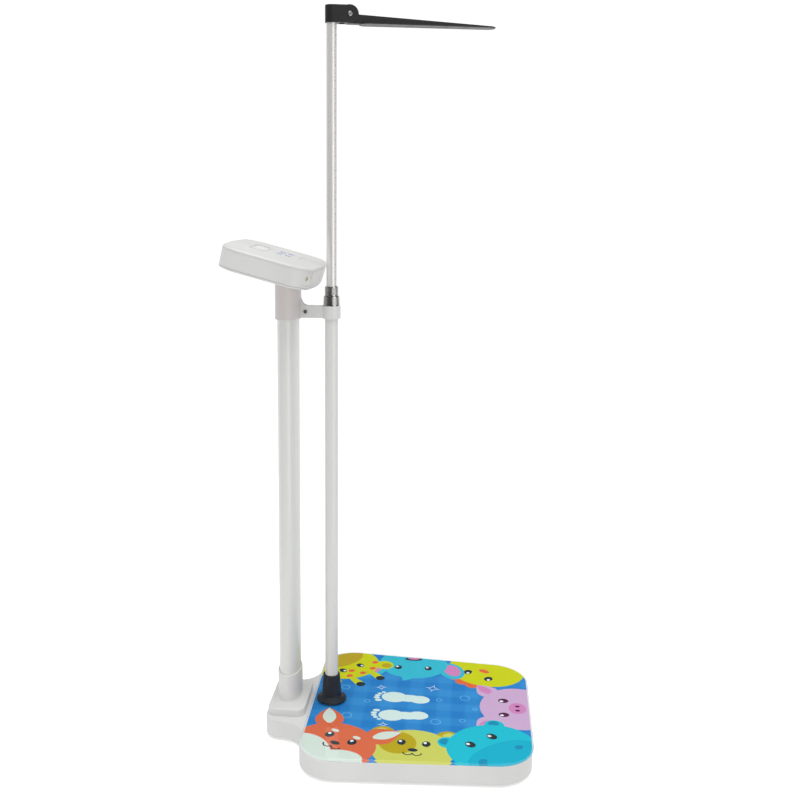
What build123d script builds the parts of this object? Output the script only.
from build123d import *
import os
from math import cos, radians, sin, sqrt, tan

# Children's electronic column scale with a telescopic height rod. Millimetres, +Z up.
# +X runs from the column to the platform. The origin is on the floor, in the middle of the
# whole footprint.

# ---------------------------------------------------------------- driving dimensions
PLATFORM_X = 60.165           # platform centre
PLATFORM_LENGTH = 320.0       # glass, along X
HALF_WIDTH_NEAR = 166.5       # glass half width at the column end
HALF_WIDTH_FAR = 144.0        # glass half width at the free end
CORNER_NEAR = 50.0
CORNER_FAR = 55.0
GLASS_THICKNESS = 5.0
FILM_THICKNESS = 0.2
FILM_GAP = 0.05               # bonding layer under the film
FILM_MARGIN = 2.2             # bare edge round the film
GLASS_GAP = 0.5               # film and bonding layers between shell and glass
BASE_BOTTOM = 4.0             # gap between the floor and the shell
BASE_TOP = 31.5
BASE_INSET = 1.75             # shell wall inside the glass edge
BASE_PROUD_NEAR = 1.5         # shell wall outside the glass edge at the column end
SHELL_WALL = 2.8
DECK = 3.0                    # top thickness of the shell
TONGUE_REACH = 222.0          # tongue end, from the platform centre
TONGUE_HALF = 64.0
TONGUE_CORNER = 22.0
TONGUE_BLEND = 36.0

COLUMN_X = PLATFORM_X - 194.0
COLUMN_HALF = (15.3, 29.0)    # oval half axes, X and Y
COLUMN_WALL = 1.6
COLUMN_BOTTOM = 36.0
COLUMN_TOP = 650.0
FOOT_BLOCK = (54.4, 96.0, 11.5)
FOOT_BLOCK_SHIFT = (1.3, -3.0)   # block centre from the column axis
SOCKET_HALF = (17.4, 32.6)
SOCKET_TOP = 84.2
NECK_HALF = (18.0, 32.0)
NECK_BOTTOM = 607.0
NECK_CEILING = 3.0

HEAD_CENTRE = (PLATFORM_X - 209.0, 0.0, 699.2)   # middle of the top face
HEAD_TILT = 15.0
HEAD_HALF = (67.2, 93.7)
HEAD_BULGE = 6.4              # rise of the curved long sides
HEAD_CORNER = 34.4
HEAD_THICKNESS = 30.7
HEAD_DRAFT = 2.0              # degrees
HEAD_WALL = 2.6
TRAY_HEIGHT = 2.6
TRAY_INSET = 1.3
SHADOW_LINE = (-4.3, -3.75)   # fine groove round the head, from the top face
FACE_V = 8.0                  # window, keys and bead sit this far from the head's middle
WINDOW_SIZE = (20.0, 62.0)
WINDOW_U = -26.0
WINDOW_THICKNESS = 1.6
WINDOW_RIM = (2.0, 0.7)       # width and height
KEY_RADIUS = 4.8
KEY_PLACES = {
    "key_power": (4.5, FACE_V - 14.0),
    "key_unit": (4.5, FACE_V + 14.0),
    "key_tare": (16.5, FACE_V - 14.0),
    "key_hold": (16.5, FACE_V + 14.0),
}
BEAD_U = 31.5                 # fine curved groove below the keys
BEAD_RADIUS = 100.0
BATTERY_U = -30.0
DOOR_SIZE = (31.0, 104.0, 2.0)
JACK_ANGLE = -26.0            # round the head's corner, from +X towards -Y
PORT_ANGLE = -19.0            # middle of the flat recess round the jack
NOTCH_ANGLE = -31.0           # finger notch under the head
JACK_DEPTH = 15.0             # jack axis below the top face

ROD_X = PLATFORM_X - 132.2
TUBE_RADIUS = 9.5
TUBE_BORE = 8.3
TUBE_TOP = 638.0
ROD_RADIUS = 7.1
ROD_BORE = 6.1
ROD_BOTTOM = 400.0
ROD_TOP = 1032.5
BRACKET_BOTTOM = 608.0
BRACKET_TOP = 626.0
BRACKET_SCREW = (25.6, 617.6)  # from the column axis, and its height
COLLET_STEP = 640.0
COLLET_TOP = 653.5

SWIVEL_REST = 17.0            # arm direction at rest, from +X towards +Y
CLAMP_BOTTOM = 1010.5
CLAMP_TOP = 1034.0
CLAMP_HALF = 8.8
EAR_INNER = 6.6
PIVOT_REACH = 24.0
PIVOT_Z = 0.5 * (CLAMP_BOTTOM + CLAMP_TOP)
ARM_REACH = 230.0
ARM_UNDERSIDE = 1009.0
EYE_RADIUS = 12.6

RUN = 0.06                    # radial clearance of parts that move on one another
SEAT = 0.1                    # gap between parts that are fastened together

# ---------------------------------------------------------------- derived places
GLASS_BOTTOM = BASE_TOP + GLASS_GAP
GLASS_TOP = GLASS_BOTTOM + GLASS_THICKNESS
DECK_UNDERSIDE = BASE_TOP - DECK
BOTTOM_PLATE = (BASE_BOTTOM + 1.0, BASE_BOTTOM + 3.4)
CELL_SEAT = 9.8               # top of the load cells
CELL_SIZE = 34.0
CELL_THICKNESS = 1.8
CELL_PLACES = {
    "rear_left": (PLATFORM_X - 105.0, 112.0),
    "rear_right": (PLATFORM_X - 105.0, -112.0),
    "front_left": (PLATFORM_X + 108.0, 92.0),
    "front_right": (PLATFORM_X + 108.0, -92.0),
}
FOOT_RADIUS = 19.0
BASE_SCREWS = [
    (PLATFORM_X + x, side * y)
    for x, y in ((-120.0, 149.0), (0.0, 143.0), (118.0, 121.0), (-208.0, 49.0))
    for side in (-1, 1)
]
FOOT_SCREWS = [(COLUMN_X + dx, dy) for dx in (-19.0, 19.0) for dy in (-38.0, 38.0)]
RIB_X = (-62.0, -20.0, 22.0, 64.0)
RIB_Y = (-66.0, -32.0, 32.0, 66.0)
BOARD_PLACE = (PLATFORM_X - 105.0, 0.0)
BOARD_SIZE = (54.0, 40.0, 1.6)
BOARD_BOTTOM = 12.0
CABLE_RADIUS = 2.0
HEAD_SCREWS = [(u, v) for u in (-43.0, 43.0) for v in (-79.0, 79.0)]
COLUMN_U = (COLUMN_X - HEAD_CENTRE[0] + HEAD_THICKNESS * sin(radians(HEAD_TILT))) / cos(radians(HEAD_TILT))
SIDE_RADIUS = (HEAD_HALF[1] ** 2 + HEAD_BULGE ** 2) / (2 * HEAD_BULGE)
CORNER_V = HEAD_HALF[1] - HEAD_CORNER
CORNER_U = HEAD_HALF[0] - SIDE_RADIUS + sqrt((SIDE_RADIUS - HEAD_CORNER) ** 2 - CORNER_V ** 2)
MOUNT_SCREWS = [(COLUMN_U + du, dv) for du in (-6.0, 6.0) for dv in (-17.0, 17.0)]

HEAD_FRAME = Pos(*HEAD_CENTRE) * Rot(0, HEAD_TILT, 0)
ARM_FRAME = Pos(ROD_X, 0, 0) * Rot(0, 0, SWIVEL_REST)
ROD_AXIS = Pos(ROD_X, 0, 0)


# ---------------------------------------------------------------- shared shapes
def rod(radius, bottom, top):
    """Upright cylinder between two heights."""
    return Pos(0, 0, bottom) * extrude(Circle(radius), top - bottom)


def tube(outer, bore, bottom, top):
    """Upright tube between two heights."""
    return rod(outer, bottom, top) - rod(bore, bottom - 1, top + 1)


def slab(outline, bottom, top, taper=0.0):
    """Prism of a flat outline between two heights; a positive taper narrows upwards."""
    return Pos(0, 0, bottom) * extrude(outline, top - bottom, taper=taper)


def block(size, centre):
    return Pos(*centre) * Box(*size)


def cross_pin(radius, low_y, high_y, x, z):
    """Cylinder along Y between two Y values."""
    middle = 0.5 * (low_y + high_y)
    return Pos(x, middle, z) * Rot(90, 0, 0) * Cylinder(radius, high_y - low_y)


def pan_screw(head_radius, head_height, shank_radius, length):
    """Screw with its bearing face at z=0, head below and shank above."""
    head = rod(head_radius, -head_height, 0)
    head = fillet(head.edges().filter_by(GeomType.CIRCLE).sort_by(Axis.Z)[0], 0.4 * head_height)
    drive = block((head_radius, 0.8, 1.0), (0, 0, -head_height))
    cross = block((0.8, head_radius, 1.0), (0, 0, -head_height))
    shank = rod(shank_radius, 0, length)
    shank = chamfer(shank.edges().filter_by(GeomType.CIRCLE).sort_by(Axis.Z)[-1], 0.35 * shank_radius)
    return head + shank - drive - cross


def group(solids):
    return Compound(children=list(solids))


def rounded_box(size_x, size_y, corner):
    return RectangleRounded(size_x, size_y, corner)


def corner_points(outline, x, y):
    """Vertices of an outline at (x, +y) and (x, -y)."""
    return [
        v for v in outline.vertices()
        if abs(v.X - x) < 0.01 and abs(abs(v.Y) - y) < 0.01
    ]


# ---------------------------------------------------------------- platform and base
def platform_outline(near_out=0.0, inset=0.0):
    """Rounded trapezoid: the glass outline, moved inwards by inset."""
    near = PLATFORM_X - 0.5 * PLATFORM_LENGTH - near_out
    far = PLATFORM_X + 0.5 * PLATFORM_LENGTH - inset
    half_near = HALF_WIDTH_NEAR - inset
    half_far = HALF_WIDTH_FAR - inset
    outline = make_face(Polyline(
        (near, -half_near), (far, -half_far), (far, half_far), (near, half_near), close=True))
    outline = fillet(corner_points(outline, near, half_near), CORNER_NEAR - inset)
    return fillet(corner_points(outline, far, half_far), CORNER_FAR - inset)


def base_outline():
    """Platform outline with the tongue that carries the column."""
    near = PLATFORM_X - 0.5 * PLATFORM_LENGTH - BASE_PROUD_NEAR
    tongue_end = PLATFORM_X - TONGUE_REACH
    tongue_length = near - tongue_end + 60.0
    tongue = Pos(tongue_end + 0.5 * tongue_length, 0) * Rectangle(tongue_length, 2 * TONGUE_HALF)
    outline = platform_outline(BASE_PROUD_NEAR, BASE_INSET) + tongue
    outline = fillet(corner_points(outline, near, TONGUE_HALF), TONGUE_BLEND)
    return fillet(corner_points(outline, tongue_end, TONGUE_HALF), TONGUE_CORNER)


def base_ribs(cavity):
    """Stiffening ribs under the deck, clipped to the cavity."""
    low, high = 15.0, DECK_UNDERSIDE + 0.5
    middle = 0.5 * (low + high)
    ribs = [block((2.0, 400.0, high - low), (PLATFORM_X + x, 0, middle)) for x in RIB_X]
    ribs += [block((600.0, 2.0, high - low), (PLATFORM_X, y, middle)) for y in RIB_Y]
    return cavity & (ribs[0] + ribs[1:])


def base_shell():
    outline = base_outline()
    shell = slab(outline, BASE_BOTTOM, BASE_TOP)
    rim = shell.edges().group_by(Axis.Z)
    shell = fillet(rim[-1], 1.0)
    shell = fillet(shell.edges().group_by(Axis.Z)[0], 1.6)
    cavity = slab(offset(outline, amount=-SHELL_WALL), BASE_BOTTOM - 1, DECK_UNDERSIDE)
    shell -= cavity
    shell += base_ribs(cavity)
    for x, y in BASE_SCREWS:
        shell += Pos(x, y) * rod(4.0, BOTTOM_PLATE[1], DECK_UNDERSIDE + 0.5)
    for x, y in CELL_PLACES.values():
        seat = rounded_box(CELL_SIZE + 4, CELL_SIZE + 4, 3) - Rectangle(CELL_SIZE - 8, CELL_SIZE - 8)
        shell -= Pos(x, y) * block((CELL_SIZE - 8, CELL_SIZE - 8, 18), (0, 0, DECK_UNDERSIDE - 9))
        shell += Pos(x, y) * slab(seat, CELL_SEAT, DECK_UNDERSIDE + 0.5)
    for dx in (-22.0, 22.0):
        for dy in (-15.0, 15.0):
            shell += Pos(BOARD_PLACE[0] + dx, BOARD_PLACE[1] + dy) * rod(
                3.0, BOARD_BOTTOM + BOARD_SIZE[2], DECK_UNDERSIDE + 0.5)
    for x, y in BASE_SCREWS:
        shell -= Pos(x, y) * rod(1.4, BOTTOM_PLATE[1] - 1, DECK_UNDERSIDE - 2)
    for x, y in FOOT_SCREWS:
        shell -= Pos(x, y) * rod(2.2, DECK_UNDERSIDE - 14, BASE_TOP + 1)
        shell -= Pos(x, y) * rod(4.6, DECK_UNDERSIDE - 14, DECK_UNDERSIDE)
    shell -= Pos(COLUMN_X, 0) * rod(7.0, BASE_BOTTOM, BASE_TOP + 1)
    return shell


def base_bottom_plate():
    outline = offset(base_outline(), amount=-(SHELL_WALL + 0.3), kind=Kind.INTERSECTION)
    plate = slab(outline, *BOTTOM_PLATE)
    for x, y in CELL_PLACES.values():
        plate -= Pos(x, y) * rod(FOOT_RADIUS + 1.5, 0, 20)
    for x, y in BASE_SCREWS:
        plate -= Pos(x, y) * rod(1.75, 0, 20)
    return plate


def load_cell(x, y):
    """Stamped bending cell: a square frame with a tongue that the foot presses."""
    plate = rounded_box(CELL_SIZE, CELL_SIZE, 3)
    slots = Pos(0, 11) * Rectangle(24, 2) + Pos(-11, 0) * Rectangle(2, 24) + Pos(11, 0) * Rectangle(2, 24)
    cell = slab(plate - slots, CELL_SEAT - CELL_THICKNESS, CELL_SEAT)
    gauge = block((9.0, 6.0, 0.6), (0, -8.0, CELL_SEAT + 0.3))
    return Pos(x, y) * (cell + gauge)


def foot_pad(x, y):
    """Rubber pad with a stem that meets the load cell's tongue."""
    pad = rod(FOOT_RADIUS, 0, 5.5)
    pad = fillet(pad.edges().group_by(Axis.Z)[-1], 1.2)
    pad = chamfer(pad.edges().group_by(Axis.Z)[0], 0.8)
    stem = rod(7.0, 5.0, CELL_SEAT - CELL_THICKNESS)
    return Pos(x, y) * (pad + stem)


def junction_board():
    x, y = BOARD_PLACE
    board = block(BOARD_SIZE, (x, y, BOARD_BOTTOM + 0.5 * BOARD_SIZE[2]))
    plug = block((8.0, 12.0, 4.2), (x - 20.0, y, BOARD_BOTTOM - 2.1))
    chip = block((9.0, 5.0, 1.6), (x + 4.0, y, BOARD_BOTTOM - 0.8))
    return board + plug + chip


def base_screws():
    screw = pan_screw(3.2, 1.9, 1.35, 14.0)
    return group(Pos(x, y, BOTTOM_PLATE[0]) * screw for x, y in BASE_SCREWS)


def printed_film():
    bottom = BASE_TOP + FILM_GAP
    return slab(platform_outline(-FILM_MARGIN, FILM_MARGIN), bottom, bottom + FILM_THICKNESS)


def glass_platter():
    glass = slab(platform_outline(), GLASS_BOTTOM, GLASS_TOP)
    return chamfer(glass.edges().group_by(Axis.Z)[-1] + glass.edges().group_by(Axis.Z)[0], 0.7)


# ---------------------------------------------------------------- column and neck
def column_foot():
    length, width, height = FOOT_BLOCK
    block_top = BASE_TOP + height
    plinth = slab(rounded_box(length, width, 12.6), BASE_TOP, block_top)
    plinth = fillet(plinth.edges().group_by(Axis.Z)[-1], 2.5)
    socket = slab(Ellipse(*SOCKET_HALF), block_top - 1, SOCKET_TOP)
    foot = Pos(*FOOT_BLOCK_SHIFT) * plinth + socket
    foot = fillet(foot.edges().filter_by(GeomType.BSPLINE), 3.0)
    rim = foot.edges().group_by(Axis.Z)[-1]
    foot = fillet(rim, 0.9)
    bore = slab(Ellipse(COLUMN_HALF[0] + SEAT, COLUMN_HALF[1] + SEAT), COLUMN_BOTTOM, SOCKET_TOP + 1)
    foot = foot - bore - rod(7.0, BASE_TOP - 1, COLUMN_BOTTOM + 1)
    foot = Pos(COLUMN_X, 0) * foot
    for x, y in FOOT_SCREWS:
        foot -= Pos(x, y) * rod(1.7, BASE_TOP - 1, BASE_TOP + 9)
    return foot - column_screw_hole(64.0, SOCKET_HALF[1])


def column_foot_screws():
    screw = pan_screw(3.9, 2.4, 1.65, 11.5)
    return group(Pos(x, y, DECK_UNDERSIDE) * screw for x, y in FOOT_SCREWS)


def column_tube():
    half_x, half_y = COLUMN_HALF
    wall = Ellipse(half_x, half_y) - Ellipse(half_x - COLUMN_WALL, half_y - COLUMN_WALL)
    column = Pos(COLUMN_X, 0) * slab(wall, COLUMN_BOTTOM + 0.1, COLUMN_TOP)
    column -= column_screw_hole(64.0, SOCKET_HALF[1])
    return column - column_screw_hole(630.0, NECK_HALF[1])


def column_screw_hole(height, face):
    """Hole along -Y through the side wall at one height."""
    return Pos(COLUMN_X, face, height) * Rot(90, 0, 0) * rod(2.05, -2, 8)


def column_screws():
    """Screws from the +Y side, through socket and neck into the column."""
    screw = pan_screw(3.8, 2.2, 2.0, 7.0)
    places = ((SOCKET_HALF[1], 64.0), (NECK_HALF[1], 630.0))
    return group(Pos(COLUMN_X, face, z) * Rot(90, 0, 0) * screw for face, z in places)


def above_head_plane(depth):
    """Everything above a plane that lies parallel to the head's top face, depth below it."""
    return HEAD_FRAME * Pos(0, 0, 150 - depth) * Box(600, 600, 300)


def neck_sleeve():
    outer = slab(Ellipse(*NECK_HALF), NECK_BOTTOM, 700)
    outer = fillet(outer.edges().group_by(Axis.Z)[0], 1.2)
    inner = slab(Ellipse(COLUMN_HALF[0] + SEAT, COLUMN_HALF[1] + SEAT), NECK_BOTTOM - 1, 700)
    inner = Pos(COLUMN_X, 0) * inner - above_head_plane(HEAD_THICKNESS + NECK_CEILING)
    neck = Pos(COLUMN_X, 0) * outer - above_head_plane(HEAD_THICKNESS) - inner
    lug = block((20.0, 5.0, 13.0), (COLUMN_X + 26.0, 0, 617.5))
    neck += lug
    neck -= cross_pin(2.1, -10, 10, COLUMN_X + BRACKET_SCREW[0], BRACKET_SCREW[1])
    neck -= Pos(COLUMN_X, 0) * rod(7.0, 652, 700)
    neck -= column_screw_hole(630.0, NECK_HALF[1])
    for u, v in MOUNT_SCREWS:
        neck -= HEAD_FRAME * Pos(u, v, -HEAD_THICKNESS) * rod(1.75, -6, 2)
    return neck


def head_mount_screws():
    screw = pan_screw(3.1, 1.9, 1.4, NECK_CEILING + 5.0)
    seat = -HEAD_THICKNESS - NECK_CEILING
    return group(HEAD_FRAME * Pos(u, v, seat) * screw for u, v in MOUNT_SCREWS)


def rod_bracket():
    """Forked arm from the neck to the ring that holds the rod tube upright."""
    reach = ROD_X - COLUMN_X
    sole = BRACKET_BOTTOM + 0.8
    arm = Polyline((10, sole), (reach, sole), (reach, BRACKET_TOP), (10, BRACKET_TOP), close=True)
    arm = extrude(Plane.XZ * make_face(arm), amount=6.0, both=True)
    web = Polyline((10, BRACKET_TOP - 1), (27.5, BRACKET_TOP - 1), (27.5, BRACKET_TOP),
                   (18.0, BRACKET_TOP + 9.5), (10, BRACKET_TOP + 9.5), close=True)
    web = extrude(Plane.XZ * make_face(web), amount=6.0, both=True)
    web -= cross_pin(9.5, -7, 7, 28.5, BRACKET_TOP + 9.5)
    ring = Pos(reach, 0) * rod(12.9, BRACKET_BOTTOM, BRACKET_TOP)
    ring = fillet(ring.edges().group_by(Axis.Z)[-1] + ring.edges().group_by(Axis.Z)[0], 0.8)
    bracket = arm + web + ring
    bracket -= slab(Ellipse(NECK_HALF[0] + SEAT, NECK_HALF[1] + SEAT), 600, 640)
    bracket -= block((22.0, 5.2, 13.4), (26.0, 0, 617.5))
    bracket -= Pos(reach, 0) * rod(TUBE_RADIUS + 0.05, 600, 640)
    bracket -= cross_pin(2.1, -10, 10, *BRACKET_SCREW)
    return Pos(COLUMN_X, 0) * bracket


def bracket_screw():
    screw = pan_screw(3.0, 1.6, 2.0, 12.5)
    return Pos(COLUMN_X + BRACKET_SCREW[0], -6.0, BRACKET_SCREW[1]) * Rot(-90, 0, 0) * screw


# ---------------------------------------------------------------- display head
def head_outline():
    """Two straight ends, two gently curved long sides, round corners."""
    half_u, half_v = HEAD_HALF
    end_u = half_u - HEAD_BULGE
    outline = make_face([
        ThreePointArc((end_u, -half_v), (half_u, 0), (end_u, half_v)),
        Line((end_u, half_v), (-end_u, half_v)),
        ThreePointArc((-end_u, half_v), (-half_u, 0), (-end_u, -half_v)),
        Line((-end_u, -half_v), (end_u, -half_v)),
    ])
    return fillet(outline.vertices(), HEAD_CORNER)


def corner_frame(degrees):
    """Frame on the head's corner wall: +Z points out of the wall, +X towards the underside."""
    angle = radians(degrees)
    reach = HEAD_CORNER - JACK_DEPTH * tan(radians(HEAD_DRAFT))
    place = Pos(CORNER_U + reach * cos(angle), reach * sin(angle) - CORNER_V, -JACK_DEPTH)
    return place * Rot(0, 0, degrees) * Rot(0, 90, 0)


def window_shape(growth, corner, bottom, top):
    """Prism over the display window, larger than the pane by growth."""
    length, width = WINDOW_SIZE
    return Pos(WINDOW_U, FACE_V) * slab(rounded_box(length + growth, width + growth, corner), bottom, top)


def head_top_case():
    depth = HEAD_THICKNESS - TRAY_HEIGHT - 0.4
    outer = extrude(head_outline(), -depth, taper=HEAD_DRAFT)
    outer = fillet(outer.edges().group_by(Axis.Z)[-1], 2.8)
    inner_outline = offset(head_outline(), amount=-HEAD_WALL)
    inner = Pos(0, 0, -HEAD_WALL) * extrude(inner_outline, HEAD_WALL - depth - 1, taper=HEAD_DRAFT)
    case = outer - inner
    for u, v in HEAD_SCREWS:
        case += Pos(u, v) * rod(4.0, -depth, -HEAD_WALL + 0.5)
        case -= Pos(u, v) * rod(1.4, -depth - 1, -HEAD_WALL - 4)
    case += window_shape(2 * WINDOW_RIM[0], 4.0, -0.5, WINDOW_RIM[1])
    case -= window_shape(0.2, 3.1, -WINDOW_THICKNESS - 0.1, 2)
    case -= window_shape(-3.0, 2.0, -6, 2)
    for u, v in KEY_PLACES.values():
        case -= Pos(u, v) * rod(KEY_RADIUS + 0.15, -6, 1)
    bead = Circle(BEAD_RADIUS + 0.5) - Circle(BEAD_RADIUS - 0.5)
    bead &= Pos(-BEAD_RADIUS, 0) * Rectangle(20, 62)
    case -= Pos(BEAD_U + BEAD_RADIUS, FACE_V) * slab(bead, -0.6, 1)
    line_depth = 0.45 - SHADOW_LINE[1] * tan(radians(HEAD_DRAFT))
    line = offset(head_outline(), amount=2.0) - offset(head_outline(), amount=-line_depth)
    case -= slab(line, *SHADOW_LINE)
    case -= corner_frame(PORT_ANGLE) * slab(rounded_box(21.0, 18.0, 2.5), -1.7, 4)
    return HEAD_FRAME * (case - corner_frame(JACK_ANGLE) * rod(4.3, -8, 4))


def head_bottom_case():
    outline = offset(head_outline(), amount=-TRAY_INSET)
    tray = slab(outline, -HEAD_THICKNESS, -HEAD_THICKNESS + TRAY_HEIGHT)
    tray = fillet(tray.edges().group_by(Axis.Z)[0], 1.2)
    tray -= corner_frame(NOTCH_ANGLE) * block((3.0, 15.0, 6.0), (HEAD_THICKNESS - JACK_DEPTH, 0, -0.5))
    for u, v in HEAD_SCREWS:
        tray -= Pos(u, v) * rod(1.75, -40, 0)
        tray -= Pos(u, v) * rod(3.4, -40, -HEAD_THICKNESS + 1.2)
    length, width, _ = DOOR_SIZE
    tray -= block((length + 0.8, width + 0.8, 20), (BATTERY_U, 0, -HEAD_THICKNESS))
    tray -= Pos(COLUMN_U, 0) * rod(8.5, -40, 0)
    for u, v in MOUNT_SCREWS:
        tray += Pos(u, v) * rod(3.6, -HEAD_THICKNESS + 1, -HEAD_THICKNESS + 6.5)
        tray -= Pos(u, v) * rod(1.45, -40, -HEAD_THICKNESS + 5.5)
    return HEAD_FRAME * tray


def head_screws():
    screw = pan_screw(3.0, 1.1, 1.35, 11.0)
    seat = -HEAD_THICKNESS + 1.2
    return group(HEAD_FRAME * Pos(u, v, seat) * screw for u, v in HEAD_SCREWS)


def battery_door():
    """Lid with a round hinge edge and a grip of five grooves."""
    length, width, thickness = DOOR_SIZE
    half = 0.5 * thickness
    plate = block((length - half, width, thickness), (-0.5 * half, 0, half - HEAD_THICKNESS))
    door = plate + cross_pin(half, -0.5 * width, 0.5 * width, 0.5 * length - half, half - HEAD_THICKNESS)
    for k in range(5):
        door -= block((1.2, 24.0, 1.0), (-11.0 + 2.6 * k, 0, -HEAD_THICKNESS))
    return HEAD_FRAME * Pos(BATTERY_U, 0) * door


def lcd_window():
    return HEAD_FRAME * window_shape(0.0, 3.0, -WINDOW_THICKNESS, 0)


def lcd_module():
    glass = block((24.0, 66.0, 2.8), (0, 0, -HEAD_WALL - 1.5))
    return HEAD_FRAME * Pos(WINDOW_U, FACE_V) * glass


def main_board():
    board = block((56.0, 96.0, 1.6), (20.0, 0, -13.0))
    chip = block((10.0, 10.0, 1.8), (34.0, 22.0, -14.7))
    plug = block((7.0, 10.0, 5.5), (COLUMN_U + 12.0, 0.0, -16.55))
    return HEAD_FRAME * (board + chip + plug)


def key_cap(u, v):
    """Round key with a flange that keeps it in the case."""
    cap = rod(KEY_RADIUS, -5.0, 0.7)
    cap = fillet(cap.edges().group_by(Axis.Z)[-1], 0.5)
    flange = rod(KEY_RADIUS + 1.0, -5.0, -HEAD_WALL - 0.3)
    return HEAD_FRAME * Pos(u, v) * (cap + flange)


def key_switches():
    def switch():
        return block((6.0, 6.0, 3.6), (0, 0, -10.35)) + rod(1.7, -8.6, -6.0)
    return group(HEAD_FRAME * Pos(u, v) * switch() for u, v in KEY_PLACES.values())


def battery_holder():
    tray = block((31.0, 106.0, 14.5), (0, 0, -18.4))
    tray -= block((29.0, 104.0, 13.5), (0, 0, -19.4))
    return HEAD_FRAME * Pos(BATTERY_U, 0) * tray


def batteries():
    """Four cells in two rows, each with its positive cap."""
    cells = []
    for u in (-7.2, 7.2):
        for v in (-25.8, 25.8):
            cell = Rot(90, 0, 0) * (Cylinder(7.05, 49.0) + Pos(0, 0, 24.9) * Cylinder(2.7, 1.2))
            cells.append(HEAD_FRAME * Pos(BATTERY_U + u, v, -19.9) * cell)
    return group(cells)


def dc_jack():
    """Socket for a 5.5 mm barrel plug with a 2.1 mm pin."""
    barrel = rod(4.2, -9.0, -1.2)
    body = block((11.0, 9.0, 9.5), (0, 0, -9.0 - 4.75))
    jack = barrel + body - rod(2.85, -10.5, 0)
    return HEAD_FRAME * corner_frame(JACK_ANGLE) * (jack + rod(1.0, -11.0, -2.2))


# ---------------------------------------------------------------- height rod
def rod_outer_tube():
    return ROD_AXIS * tube(TUBE_RADIUS, TUBE_BORE, GLASS_TOP + 4.0, TUBE_TOP)


def rod_foot():
    """Rubber foot: round flange, tapered collar and the bore for the tube."""
    base = GLASS_TOP
    half = make_face(Polyline(
        (0, base), (21.85, base), (21.85, base + 3.2), (17.0, base + 5.2), (14.6, base + 8.0),
        (12.3, base + 40.0), (TUBE_RADIUS + 0.02, base + 40.0), (TUBE_RADIUS + 0.02, base + 4.0),
        (0, base + 4.0), close=True))
    foot = revolve(Plane.XZ * half, Axis.Z)
    rims = [e for e in foot.edges().filter_by(GeomType.CIRCLE)
            if abs(e.radius - 21.85) < 0.01 or abs(e.radius - 12.3) < 0.01]
    foot = fillet(rims, 0.9)
    return ROD_AXIS * foot


def collet_nut_lower():
    body = Pos(0, 0, BRACKET_TOP + 0.1) * Cone(11.85, 11.2, COLLET_STEP - BRACKET_TOP - 0.1,
                                             align=(Align.CENTER, Align.CENTER, Align.MIN))
    body = chamfer(body.edges().filter_by(GeomType.CIRCLE), 0.5)
    body -= rod(TUBE_RADIUS + 0.05, 600, TUBE_TOP + 0.1)
    return ROD_AXIS * (body - rod(TUBE_BORE + RUN, 600, 660))


def collet_ring_upper():
    ring = rod(9.6, COLLET_STEP + 0.1, COLLET_TOP)
    ring = chamfer(ring.edges().filter_by(GeomType.CIRCLE), 0.5)
    ring -= rod(TUBE_BORE - 0.1 + RUN, 600, 648.2)
    return ROD_AXIS * (ring - rod(ROD_RADIUS + RUN, 600, 660))


def collet_jaw():
    """Split plastic sleeve that grips the inner rod."""
    jaw = tube(TUBE_BORE - 0.1, ROD_RADIUS + RUN, 622.0, 648.0)
    for angle in (0, 90):
        jaw -= Rot(0, 0, angle) * block((1.0, 40.0, 18.0), (0, 0, 648.0 - 6.0))
    return ROD_AXIS * jaw


def inner_rod():
    return ROD_AXIS * tube(ROD_RADIUS, ROD_BORE, ROD_BOTTOM, ROD_TOP)


def rod_end_plug():
    plug = rod(7.9, ROD_BOTTOM - 3.0, ROD_BOTTOM) + rod(ROD_BORE - 0.02, ROD_BOTTOM, ROD_BOTTOM + 14)
    return ROD_AXIS * plug


def guide_bush():
    """Slides in the outer tube; the inner rod turns in it."""
    return ROD_AXIS * tube(TUBE_BORE - RUN, ROD_RADIUS + RUN, ROD_BOTTOM + 0.2, ROD_BOTTOM + 20.0)


def bush_clip():
    ring = tube(7.95, ROD_RADIUS + 0.01, ROD_BOTTOM + 20.2, ROD_BOTTOM + 21.4)
    return ROD_AXIS * (ring - block((10.0, 3.0, 10.0), (-8.0, 0, ROD_BOTTOM + 21)))


def rod_clamp():
    """Cap on the rod's top with two ears that hold the arm between them."""
    cap = rod(CLAMP_HALF, CLAMP_BOTTOM, CLAMP_TOP)
    height = CLAMP_TOP - CLAMP_BOTTOM
    ears = block((PIVOT_REACH, 2 * CLAMP_HALF, height), (0.5 * PIVOT_REACH, 0, PIVOT_Z))
    ears += cross_pin(0.5 * height, -CLAMP_HALF, CLAMP_HALF, PIVOT_REACH, PIVOT_Z)
    clamp = cap + ears
    clamp = fillet(clamp.edges().filter_by(GeomType.CIRCLE).group_by(Axis.Z)[-1], 0.8)
    slot_start = PIVOT_REACH - EYE_RADIUS - 0.6
    clamp -= block((60.0, 2 * EAR_INNER, 60.0), (slot_start + 30.0, 0, PIVOT_Z))
    clamp -= rod(ROD_RADIUS + 0.02, CLAMP_BOTTOM - 1, ROD_TOP)
    clamp -= cross_pin(2.03, -20, 20, PIVOT_REACH, PIVOT_Z)
    return ARM_FRAME * clamp


def clamp_bolt():
    screw = pan_screw(3.2, 1.7, 2.0, 2 * CLAMP_HALF + 4.6)
    return ARM_FRAME * Pos(PIVOT_REACH, -CLAMP_HALF - 0.02, PIVOT_Z) * Rot(-90, 0, 0) * screw


def clamp_nut():
    nut = slab(RegularPolygon(3.9, 6), 0, 3.2) - rod(2.02, -1, 5)
    return ARM_FRAME * Pos(PIVOT_REACH, CLAMP_HALF + 0.02, PIVOT_Z) * Rot(-90, 0, 0) * nut


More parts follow.
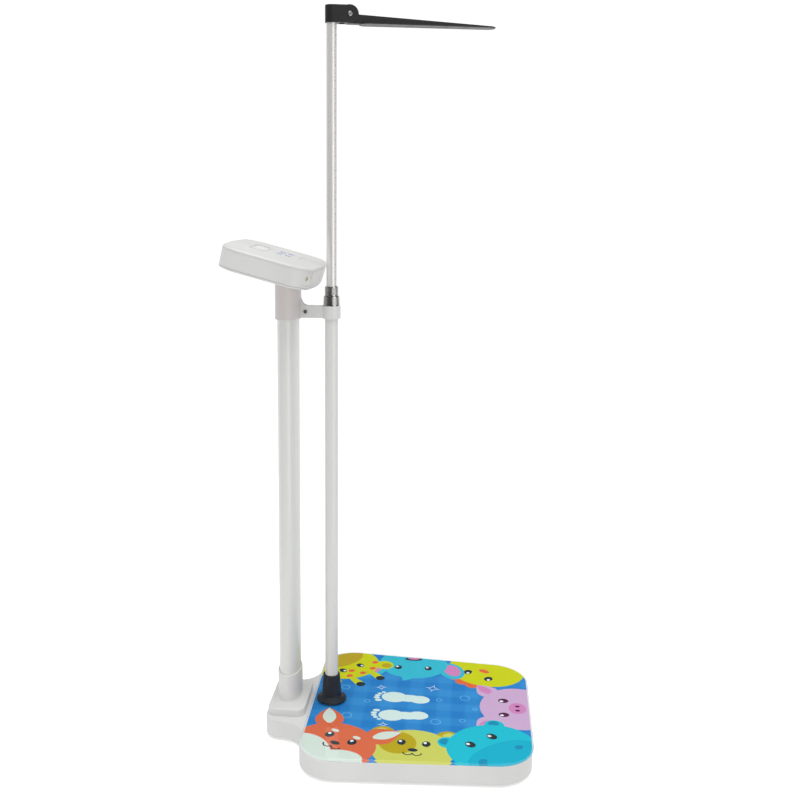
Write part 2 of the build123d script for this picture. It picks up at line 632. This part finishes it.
def arm_profile():
    """Side view of the arm's cheeks: a round eye running into a long taper."""
    taper = make_face(Polyline(
        (PIVOT_REACH, ARM_UNDERSIDE + 0.65), (ARM_REACH - 4.0, ARM_UNDERSIDE + 0.65),
        (ARM_REACH - 4.0, ARM_UNDERSIDE + 2.6), (36.0, PIVOT_Z - 0.5), (PIVOT_REACH, PIVOT_Z),
        close=True))
    return taper + Pos(PIVOT_REACH, PIVOT_Z) * Circle(EYE_RADIUS)


def measuring_arm():
    """Channel with two cheeks on a wide flat sole that rests on the head."""
    profile = Plane.XZ * arm_profile()
    cheeks = extrude(profile, amount=EAR_INNER - 0.12, both=True)
    hollow = extrude(profile, amount=EAR_INNER - 2.4, both=True)
    cut = block((ARM_REACH, 40, 40), (36.0 + 0.5 * ARM_REACH, 0, ARM_UNDERSIDE + 21.6))
    arm = cheeks - (hollow & cut)
    sole = make_face(Polyline((40.0, -9.5), (46.0, -13.4), (ARM_REACH, -10.5), (ARM_REACH, 10.5),
                              (46.0, 13.4), (40.0, 9.5), close=True))
    sole = fillet(corner_points(sole, ARM_REACH, 10.5), 8.0)
    arm += slab(sole, ARM_UNDERSIDE, ARM_UNDERSIDE + 1.6)
    arm -= cross_pin(2.0 + RUN, -20, 20, PIVOT_REACH, PIVOT_Z)
    return ARM_FRAME * arm


# ---------------------------------------------------------------- cable
def signal_cable():
    """From the junction board, through the tongue and up the column to the head."""
    start = (BOARD_PLACE[0] - 24.1, 0, BOARD_BOTTOM - 2.4)
    turn = (COLUMN_X, 0, start[2])
    end = (COLUMN_X, 0, 679.2)
    path = FilletPolyline(start, turn, end, radius=9.0)
    return sweep(Plane(origin=start, z_dir=(-1, 0, 0)) * Circle(CABLE_RADIUS), path)


# ---------------------------------------------------------------- all nodes
NODES = {
    "base_shell": base_shell,
    "base_bottom_plate": base_bottom_plate,
    "base_screws": base_screws,
    "junction_board": junction_board,
    "printed_film": printed_film,
    "glass_platter": glass_platter,
    "column_foot": column_foot,
    "column_foot_screws": column_foot_screws,
    "column_tube": column_tube,
    "column_screws": column_screws,
    "neck_sleeve": neck_sleeve,
    "head_mount_screws": head_mount_screws,
    "rod_bracket": rod_bracket,
    "bracket_screw": bracket_screw,
    "head_top_case": head_top_case,
    "head_bottom_case": head_bottom_case,
    "head_screws": head_screws,
    "battery_door": battery_door,
    "battery_holder": battery_holder,
    "batteries": batteries,
    "lcd_window": lcd_window,
    "lcd_module": lcd_module,
    "main_board": main_board,
    "key_switches": key_switches,
    "dc_jack": dc_jack,
    "rod_outer_tube": rod_outer_tube,
    "rod_foot": rod_foot,
    "collet_nut_lower": collet_nut_lower,
    "collet_ring_upper": collet_ring_upper,
    "collet_jaw": collet_jaw,
    "inner_rod": inner_rod,
    "rod_end_plug": rod_end_plug,
    "guide_bush": guide_bush,
    "bush_clip": bush_clip,
    "rod_clamp": rod_clamp,
    "clamp_bolt": clamp_bolt,
    "clamp_nut": clamp_nut,
    "measuring_arm": measuring_arm,
    "signal_cable": signal_cable,
}

os.makedirs("parts", exist_ok=True)
for node, build in NODES.items():
    export_step(build(), f"parts/{node}.step")
for node, place in CELL_PLACES.items():
    export_step(load_cell(*place), f"parts/load_cell_{node}.step")
    export_step(foot_pad(*place), f"parts/foot_pad_{node}.step")
for node, place in KEY_PLACES.items():
    export_step(key_cap(*place), f"parts/{node}.step")
